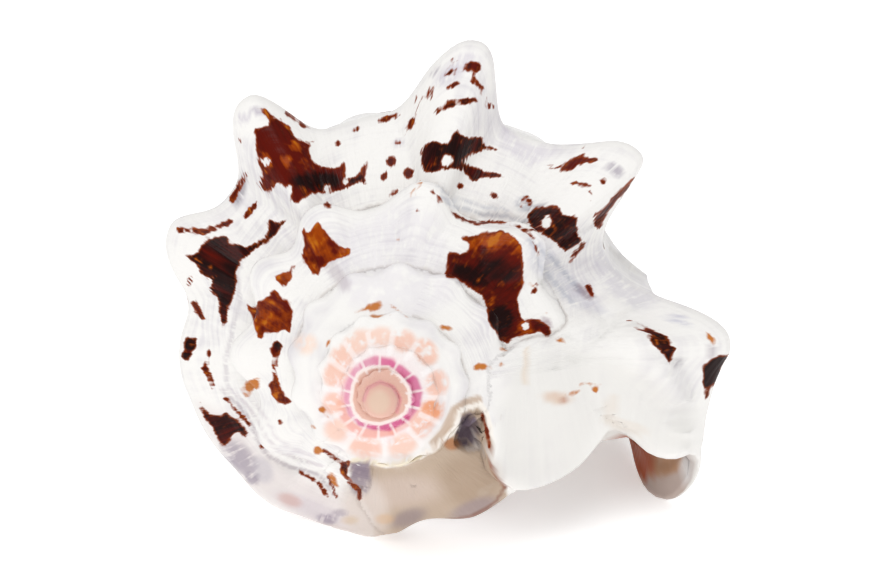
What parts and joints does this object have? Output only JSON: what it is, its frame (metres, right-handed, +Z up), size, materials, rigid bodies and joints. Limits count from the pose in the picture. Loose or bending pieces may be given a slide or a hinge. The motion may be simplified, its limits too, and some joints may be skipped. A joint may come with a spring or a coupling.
{
  "type": "conch shell",
  "caption": "Knobbed spiral sea shell lying on its aperture, with a low spire, tall shoulder knobs, a flared lip edge and a hollow aperture below.",
  "frame": {"origin": "on the floor plane, under the middle of the shell's bounding box", "axes": "+Z up away from the floor the shell lies on; +Y roughly along the shell's own axis from the apex to the canal, level with the floor; +X towards the outer lip"},
  "size_m": [0.0572, 0.076, 0.0495],
  "materials": {
    "shell": "glossy porcelain-like cream shell with red-brown patches, rose whorls near the apex and a tan callus"
  },
  "bodies": {
    "root": {"shell": "shell"}
  },
  "joints": []
}
